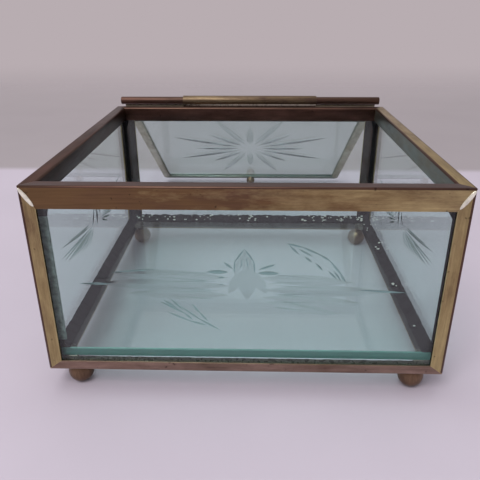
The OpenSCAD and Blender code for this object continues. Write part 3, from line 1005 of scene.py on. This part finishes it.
class CASKET_OT_panes(bpy.types.Operator):
    """Model the box's five panes and engrave three of them"""
    bl_idname = "casket.panes"
    bl_label = "Panes"

    def execute(self, context):
        arris = settings("casket_glass").arris
        sprigs = [line for sprig in SPRIGS for line in sprig_lines(*sprig)]
        fine = ACCENTS + BUD_LINES + TIPS + outlines(LEAVES, 0.4) + sprigs
        flower = engraving("flower", BUD + HEART + LEAVES, fine)
        spray = engraving("spray", BUD + HEART, feather_lines())
        motifs = {"front": flower, "right": spray, "left": spray}
        for side in ("front", "rear", "left", "right", "base"):
            low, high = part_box(f"{side}_glass")
            sealed = behind_front_edge if side == "base" else upright_edge
            pane = new_pane(f"{side}_pane", low, high, arris, sealed=sealed)
            if side in motifs:
                outwards = Vector(OUTWARDS[side])
                face = (low + high) / 2 + outwards * ((high - low).dot(outwards * outwards) / 2)
                turn = outwards.to_track_quat("Z", "Y").to_matrix().to_4x4()
                engrave(pane, motifs[side], Matrix.Translation(face) @ turn)
            smooth(pane, CUTS_STAY_SHARP)
            hand_over(pane, "box", f"{side}_glass")
        discard(flower)
        discard(spray)
        return {"FINISHED"}


class CASKET_OT_lid_pane(bpy.types.Operator):
    """Model the lid's pane and cut its sunburst"""
    bl_idname = "casket.lid_pane"
    bl_label = "Lid pane"

    def execute(self, context):
        sizes = settings("casket_glass")
        low, high = bounds_in("lid_glass", LID_FRAME)
        pane = new_pane("lid_pane", low, high, sizes.arris, faces="pale_float_glass")
        petals = sunburst(sizes)
        sun = engraving("sun", petals, outlines(petals, 0.5))
        engrave(pane, sun, Matrix.Translation((0, (low.y + high.y) / 2, high.z)))
        discard(sun)
        settle(pane, LID_PLACE)
        smooth(pane, CUTS_STAY_SHARP)
        hand_over(pane, "lid", "lid_glass")
        return {"FINISHED"}


# ---- solder ----

class CASKET_OT_solder(bpy.types.Operator):
    """Model the beads on the rim's corners and the pillars under the base pane"""
    bl_idname = "casket.solder"
    bl_label = "Solder"

    def execute(self, context):
        for seed, corner in enumerate(CORNERS):
            self.bead(corner, seed)
            self.pillar(corner)
        return {"FINISHED"}

    def bead(self, corner, seed):
        """A wiped bead on both mitres where a post meets the rim."""
        b = settings("casket_brass")
        node = f"rim_solder_{corner}"
        low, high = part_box(node)
        proud = max(-BOX_W / 2 - low.x, high.x - BOX_W / 2)
        uneven = 0.04 * MM
        half_width = 0.66 * MM
        half_length = 0.4  # of the mitre
        swapped = Matrix(((0, 1, 0, 0), (1, 0, 0, 0), (0, 0, 1, 0), (0, 0, 0, 1)))
        halves = []
        for face, leg in enumerate((post_leg(corner.split("_")[0], b), b.post_wide_leg)):
            slope = math.atan2(b.rim_leg, leg)
            run = math.hypot(b.rim_leg, leg)
            only()
            bpy.ops.mesh.primitive_uv_sphere_add(segments=24, ring_count=16, radius=1)
            drop = started("bead")
            settle(drop, Matrix.Diagonal((run * half_length, half_width, proud - uneven, 1)))
            edit(drop, "VERT")
            bpy.ops.mesh.select_all(action="SELECT")
            bpy.ops.transform.vertex_random(offset=uneven, seed=2 * seed + face)
            done()
            slice_off(drop, (0, 0, -0.1 * MM), (0, 0, -1))
            settle(drop, Matrix.Rotation(QUARTER, 4, "X") @ Matrix.Rotation(-slope, 4, "Z")
                   @ Matrix.Translation((run / 2, 0, 0)))
            if face:
                settle(drop, swapped)
            halves.append(drop)
        bead = join(f"rim_bead_{corner}", halves)
        to_corner(bead, corner, RIM_TOP)
        smooth(bead, 60)
        wear(bead, "soft_solder")
        hand_over(bead, "box", node)

    def pillar(self, corner):
        """A lump of solder in the bottom corner, wiped off level under the base pane."""
        node = f"base_solder_{corner}"
        low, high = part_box(node)
        radius, lift = high.x - low.x, high.z - low.z
        lump = quarter_round(f"base_pillar_{corner}", radius, lift)
        round_edges(lump, 0.5 * MM, segments=3)
        to_corner(lump, corner, low.z, inset=BOX_W / 2 - max(-low.x, high.x))
        smooth(lump, 50)
        wear(lump, "flux_stained_solder")
        hand_over(lump, "box", node)


def quarter_round(name, radius, height, top_radius=None):
    """An upright rod in the corner between +X and +Y, its quarter towards the inside of the box."""
    only()
    bpy.ops.mesh.primitive_cone_add(vertices=48, radius1=radius, radius2=top_radius or radius, depth=height,
                                    location=(0, 0, height / 2))
    rod = started(name)
    slice_off(rod, (0, 0, 0), (-1, 0, 0))
    slice_off(rod, (0, 0, 0), (0, -1, 0))
    return rod


# ---- sealing compound ----

class CASKET_OT_seals(bpy.types.Operator):
    """Model the dark compound round the base pane and up the corners, and the glue dried in it"""
    bl_idname = "casket.seals"
    bl_label = "Sealing compound"

    def execute(self, context):
        g = settings("casket_glass")
        clear = 0.03 * MM  # between the compound and the polished glass that it lies on
        slack = 0.1 * MM   # between the base pane and the panes round it
        width, depth = (size + 2 * (slack - clear) for size in (BASE_HIGH - BASE_LOW).xy)
        for seed, side in enumerate(("right", "rear", "left")):
            run = (width if SIDE_AXIS[side] == "x" else depth) - 2 * clear
            wedge = self.wedge(f"seal_{side}", run, *self.seal_size(side == "rear"), 11 + seed)
            to_side(wedge, side, width, depth, BASE_HIGH.z + clear)
            self.hand(wedge, "bitumen_mastic")
        bed_top = BASE_LOW.z - clear
        bed_low = FRAME_BOTTOM + settings("casket_brass").sheet + clear
        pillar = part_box("base_solder_front_left")
        beside_pillars = 2 * (pillar[1].x - pillar[0].x + clear)
        under = settings("casket_brass").bottom_flange - (BOX_W - width) / 2
        for seed, side in enumerate(SIDES):
            run = (width if SIDE_AXIS[side] == "x" else depth) - beside_pillars
            bed = self.wedge(f"bed_{side}", run, under, bed_top - bed_low, 19 + seed, ragged=0.2)
            to_side(bed, side, width, depth, bed_low)
            self.hand(bed, "flux_stained_solder" if side == "front" else "bitumen_mastic")
        self.seams((BOX_W - width) / 2, BASE_HIGH.z + g.seal_height + 3 * clear)
        self.hand(self.grains(width, depth, BASE_HIGH.z), "dried_glue")
        return {"FINISHED"}

    def seal_size(self, at_rear):
        """How far the compound spreads over the base pane, and how far it climbs up the pane beside it."""
        g = settings("casket_glass")
        return (g.rear_seal_width, g.rear_seal_height) if at_rear else (g.seal_width, g.seal_height)

    def seams(self, inset, low):
        """A seam up each inner corner, with a lump where it meets the rim. The front left one is putty."""
        putty_radius = settings("casket_glass").seam
        top = RIM_TOP - settings("casket_brass").rim_inner_leg
        lump = 4 * MM
        for corner in CORNERS:
            is_putty = corner == "front_left"
            radius = putty_radius if is_putty else 0.3 * putty_radius
            flare = (1.4 if "front" in corner else 0.7) * putty_radius
            seam = quarter_round(f"seam_{corner}", radius, top - lump - low)
            to_corner(seam, corner, low, inset)
            self.hand(seam, "glaziers_putty" if is_putty else "bitumen_mastic")
            head = quarter_round(f"seam_head_{corner}", radius, lump, top_radius=flare)
            to_corner(head, corner, top - lump, inset)
            self.hand(head, "bitumen_mastic")

    def hand(self, obj, finish):
        smooth(obj, 50)
        wear(obj, finish)
        hand_over(obj, "box")

    def wedge(self, name, run, width, height, seed, ragged=1.0):
        """A fillet along X, against a wall at y = 0 and tapering off over the floor, its edges ragged."""
        rng = random.Random(seed)
        toe = settings("casket_glass").seal_toe
        step = 0.9 * MM       # between the points that can sink
        share_that_sinks = 0.35
        strip = block(name, (-run / 2, 0, 0), (run / 2, width, height))
        edit(strip, "EDGE")
        pick(strip, "EDGE", lambda p: abs(p.x) < NEAR)
        bpy.ops.mesh.subdivide(number_cuts=int(run / step))
        pick(strip, "VERT", lambda p: p.z > NEAR and p.y > NEAR)
        bpy.ops.transform.translate(value=(0, 0, toe - height))
        for sink in (0.15, 0.3, 0.2):
            pick(strip, "VERT",
                 lambda p: p.z > height / 2 and p.y < NEAR and rng.random() < share_that_sinks)
            bpy.ops.transform.translate(value=(0, 0, -sink * ragged * MM))
            pick(strip, "VERT",
                 lambda p: p.z < height / 2 and p.y > NEAR and rng.random() < share_that_sinks)
            bpy.ops.transform.translate(value=(0, -sink * ragged * MM, 0))
        done()
        return strip

    def grains(self, width, depth, floor):
        """Crumbs of dried glue on the rear fillet, thicker to the right, and a few on the right one."""
        toe = settings("casket_glass").seal_toe
        count, each_on_the_right = 90, 8
        rng = random.Random(4)
        back = BOX_Y + depth / 2
        crumbs = []
        for crumb in range(count):
            only()
            size = rng.uniform(0.2, 0.5) * MM
            bpy.ops.mesh.primitive_ico_sphere_add(subdivisions=1, radius=size)
            grain = started("crumb")
            climb = rng.uniform(0.1, 0.9)
            across = (width / 2 - 2 * MM) * (1 - 2 * rng.random() ** 1.5)
            at_rear = (crumb + 1) % each_on_the_right != 0
            spread, height = self.seal_size(at_rear)
            out = spread * (1 - climb)
            lift = floor + toe + (height - toe) * climb + size * 0.3
            along = BOX_Y + depth * rng.uniform(-0.4, 0.45)
            place = Vector((across, back - out, lift) if at_rear else (width / 2 - out, along, lift))
            settle(grain, Matrix.Translation(place) @ Matrix.Rotation(rng.uniform(0, math.pi), 4, "X")
                   @ Matrix.Diagonal((rng.uniform(0.8, 1.8), 1, 0.7, 1)))
            crumbs.append(grain)
        return join("glue_crumbs", crumbs)


# ---- balls ----

def ball(name, diameter, middle_z, low_z, neck_z, neck_r, collar_r, top_z):
    """A turned ball on the Z axis, with a fillet of solder that flares from its neck to a collar above."""
    only()
    bpy.ops.mesh.primitive_uv_sphere_add(segments=48, ring_count=32, radius=diameter / 2,
                                         location=(0, 0, middle_z))
    obj = started(name)
    slice_off(obj, (0, 0, low_z), (0, 0, -1))
    slice_off(obj, (0, 0, neck_z), (0, 0, 1))
    steps = 6
    rise = (top_z - neck_z) / steps
    before = neck_r
    for step in range(1, steps + 1):
        radius = neck_r + (collar_r - neck_r) * (step / steps) ** 2
        top = neck_z + rise * step
        edit(obj, "FACE")
        pick(obj, "FACE", lambda p, n: n.z > 0.99 and p.z > top - rise - NEAR)
        bpy.ops.mesh.extrude_region_move(TRANSFORM_OT_translate={"value": (0, 0, rise)})
        bpy.ops.transform.resize(value=(radius / before, radius / before, 1), center_override=(0, 0, top))
        done()
        before = radius
    return obj


class CASKET_OT_feet(bpy.types.Operator):
    """Model the four ball feet"""
    bl_idname = "casket.feet"
    bl_label = "Ball feet"

    def execute(self, context):
        flat = 0.2 * MM
        middle = FOOT_D / 2 - flat
        fillet = 0.8 * MM
        collar_r = 2.4 * MM
        neck_z = FRAME_BOTTOM - fillet
        neck_r = math.sqrt((FOOT_D / 2) ** 2 - (neck_z - middle) ** 2)
        first = ball("ball_foot", FOOT_D, middle, 0, neck_z, neck_r, collar_r, FRAME_BOTTOM)
        smooth(first, 40)
        for corner in CORNERS:
            low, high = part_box(f"foot_{corner}")
            foot = copy_of(first, f"ball_foot_{corner}")
            settle(foot, Matrix.Translation(((low.x + high.x) / 2, (low.y + high.y) / 2, 0)))
            wear(foot, brass("ball", "z"))
            hand_over(foot, "box", f"foot_{corner}")
        discard(first)
        return {"FINISHED"}


class CASKET_OT_knob(bpy.types.Operator):
    """Model the ball knob on the lid"""
    bl_idname = "casket.knob"
    bl_label = "Lid knob"

    def execute(self, context):
        low, high = bounds_in("lid_knob", LID_FRAME)
        diameter = high.x - low.x
        middle = high.z - diameter / 2
        only()
        bpy.ops.mesh.primitive_uv_sphere_add(segments=40, ring_count=28, radius=diameter / 2,
                                             location=(0, (low.y + high.y) / 2, middle))
        knob = started("ball_knob")
        slice_off(knob, (0, 0, low.z), (0, 0, -1))
        settle(knob, LID_PLACE)
        smooth(knob, 40)
        wear(knob, brass("ball", "z"))
        hand_over(knob, "lid", "lid_knob")
        return {"FINISHED"}


# ---- hinge ----

class CASKET_OT_hinge(bpy.types.Operator):
    """Model the sleeve, its fillet, the rod and the solder that joins the rod to the lid"""
    bl_idname = "casket.hinge"
    bl_label = "Hinge"

    def execute(self, context):
        self.sleeve()
        self.rod()
        for node in ("hinge_sleeve_solder", "hinge_rod_solder_left", "hinge_rod_solder_right"):
            fillet = copy_of(frame["nodes"][node], node.replace("solder", "fillet"))
            fillet.parent = None
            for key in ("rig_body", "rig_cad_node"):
                if key in fillet:
                    del fillet[key]
            edit(fillet, "FACE")
            bpy.ops.mesh.select_all(action="SELECT")
            bpy.ops.mesh.remove_doubles(threshold=NEAR / 10)
            bpy.ops.mesh.tris_convert_to_quads()
            done()
            smooth(fillet, 30)
            wear(fillet, "flux_stained_solder")
            hand_over(fillet, "box" if "sleeve" in node else "lid", node)
        return {"FINISHED"}

    def sleeve(self):
        low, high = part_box("hinge_sleeve")
        radius = (high.z - low.z) / 2
        rod_low, rod_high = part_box("hinge_rod")
        bore = (rod_high.z - rod_low.z) / 2 + 0.05 * MM
        only()
        bpy.ops.mesh.primitive_cylinder_add(vertices=48, radius=radius, depth=high.x - low.x,
                                            end_fill_type="NOTHING", location=(low + high) / 2,
                                            rotation=(0, QUARTER, 0))
        sleeve = started("hinge_barrel")
        modify(sleeve, "SOLIDIFY", thickness=radius - bore, offset=-1, use_even_offset=True)
        round_edges(sleeve, 0.12 * MM, sharper_than=40)
        smooth(sleeve, 40)
        wear(sleeve, brass("sleeve", "x"))
        hand_over(sleeve, "box", "hinge_sleeve")

    def rod(self):
        low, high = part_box("hinge_rod")
        only()
        bpy.ops.mesh.primitive_cylinder_add(vertices=40, radius=(high.z - low.z) / 2, depth=high.x - low.x,
                                            location=(low + high) / 2, rotation=(0, QUARTER, 0))
        rod = started("hinge_bar")
        round_edges(rod, 0.25 * MM, segments=3, sharper_than=40)
        smooth(rod, 40)
        wear(rod, brass("rod", "x"))
        hand_over(rod, "lid", "hinge_rod")


# ---- stage ----

# Where the photograph was taken from: in metres, and in degrees about X, Y and Z.
CAMERA_PLACE = (0.002603, -0.235697, 0.111163)
CAMERA_TURN = (65.592, 0.162, 1.578)


class CASKET_OT_stage(bpy.types.Operator):
    """Set up the table, the light and the camera"""
    bl_idname = "casket.stage"
    bl_label = "Stage"

    def execute(self, context):
        s = settings("casket_studio")
        scene = context.scene
        self.table(s)
        self.light(s)
        camera = bpy.data.cameras.new("camera")
        camera.lens = s.lens
        camera.sensor_width = 36.0
        camera.clip_start = 0.01
        holder = bpy.data.objects.new("camera", camera)
        holder.location = CAMERA_PLACE
        holder.rotation_euler = [math.radians(angle) for angle in CAMERA_TURN]
        scene.collection.objects.link(holder)
        scene.camera = holder
        scene.view_settings.view_transform = "Standard"
        return {"FINISHED"}

    def table(self, s):
        """A pale laminate top that turns past its far edge to a warm grey darker than the backdrop, painted
        shade at the backdrop's foot, and then fades into the backdrop.
        """
        only()
        bpy.ops.mesh.primitive_plane_add(size=8, location=(0, 0, 0))
        table = started("table")
        material, tree = new_material("table_laminate")
        place = add(tree, "TexCoord").outputs["Object"]
        across = add(tree, "SeparateXYZ", {0: place})
        far = add(tree, "MapRange", {"Value": across.outputs["Y"], "From Min": s.far_edge - 6 * MM,
                                     "From Max": s.far_edge + 6 * MM}, interpolation_type="SMOOTHSTEP")
        mottle = add(tree, "TexNoise", {"Vector": place, "Scale": per_mm(60), "Detail": 2})
        tone = add(tree, "MapRange", {"Value": mottle.outputs["Fac"], "To Min": 0.95, "To Max": 1.05})
        # Painted shade: past the far edge the table takes 0.74 of the backdrop's colour, a shadowed band at
        # the backdrop's foot.
        shaded_far_part = [part * 0.74 for part in s.wall]
        base = add(tree, "Mix", {MIX_FACTOR: far.outputs[0], MIX_A: opaque(s.table), MIX_B: opaque(shaded_far_part)},
                   data_type="RGBA")
        shade = add(tree, "VectorMath", {0: base.outputs[MIX_RESULT], "Scale": tone.outputs[0]},
                    operation="SCALE")
        top = add(tree, "BsdfPrincipled", {"Base Color": shade.outputs[0], "Roughness": 0.6,
                                           "Specular IOR Level": 0.2})
        fading = add(tree, "MapRange", {"Value": across.outputs["Y"], "From Min": s.far_edge + 60 * MM,
                                        "From Max": s.far_edge + 700 * MM}, interpolation_type="SMOOTHSTEP")
        clear = add(tree, "BsdfTransparent")
        both = add(tree, "MixShader", {0: fading.outputs[0], 1: top.outputs[0], 2: clear.outputs[0]})
        add(tree, "OutputMaterial", {"Surface": both.outputs[0]})
        table.data.materials.append(material)

    def light(self, s):
        world = bpy.data.worlds.new("daylight")
        world.use_nodes = True
        tree = world.node_tree
        tree.nodes.clear()
        path = add(tree, "LightPath")
        through = add(tree, "Math", {0: path.outputs["Is Camera Ray"],
                                     1: path.outputs["Is Transmission Ray"]}, operation="MAXIMUM")
        seen = add(tree, "Math", {0: through.outputs[0], 1: path.outputs["Is Glossy Ray"]},
                   operation="MAXIMUM")
        room = add(tree, "Background", {"Color": (0.95, 0.97, 1.0, 1.0), "Strength": s.daylight})
        backdrop = add(tree, "Background", {"Color": opaque(s.wall), "Strength": 1.0})
        both = add(tree, "MixShader", {0: seen.outputs[0], 1: room.outputs[0], 2: backdrop.outputs[0]})
        add(tree, "OutputWorld", {"Surface": both.outputs[0]})
        bpy.context.scene.world = world
        self.lamp("window", (-0.15, 0.12, 1.3), 1.0, s.window)
        self.lamp("front", (-0.4, -0.8, 1.1), 0.6, s.front)

    def lamp(self, name, place, size, power):
        lamp = bpy.data.lights.new(name, "AREA")
        lamp.shape = "SQUARE"
        lamp.size = size
        lamp.energy = power
        holder = bpy.data.objects.new(name, lamp)
        holder.location = place
        box_middle = Vector((0, BOX_Y, 0.03))
        holder.rotation_euler = (box_middle - Vector(place)).to_track_quat("-Z", "Y").to_euler()
        bpy.context.scene.collection.objects.link(holder)


OPERATORS = (
    CASKET_OT_stage, CASKET_OT_rim, CASKET_OT_bottom, CASKET_OT_posts, CASKET_OT_lid_edging, CASKET_OT_panes,
    CASKET_OT_lid_pane, CASKET_OT_solder, CASKET_OT_seals, CASKET_OT_feet, CASKET_OT_knob, CASKET_OT_hinge,
)


class CASKET_PT_panel(bpy.types.Panel):
    """Casket box"""
    bl_label = "Glass casket box"
    bl_idname = "CASKET_PT_panel"
    bl_space_type = "VIEW_3D"
    bl_region_type = "UI"
    bl_category = "Casket"

    def draw(self, context):
        for operator in OPERATORS:
            self.layout.operator(operator.bl_idname)
        for name, group in GROUPS.items():
            box = self.layout.box()
            for field in group.__annotations__:
                box.prop(getattr(context.scene, name), field)


CLASSES = (*GROUPS.values(), *OPERATORS, CASKET_PT_panel)


def register():
    for cls in CLASSES:
        bpy.utils.register_class(cls)
    for name, group in GROUPS.items():
        setattr(bpy.types.Scene, name, PointerProperty(type=group))


def unregister():
    for name in GROUPS:
        delattr(bpy.types.Scene, name)
    for cls in reversed(CLASSES):
        bpy.utils.unregister_class(cls)


def main():
    register()
    for operator in OPERATORS:
        family, name = operator.bl_idname.split(".")
        getattr(getattr(bpy.ops, family), name)()


if __name__ == "__main__":
    main()
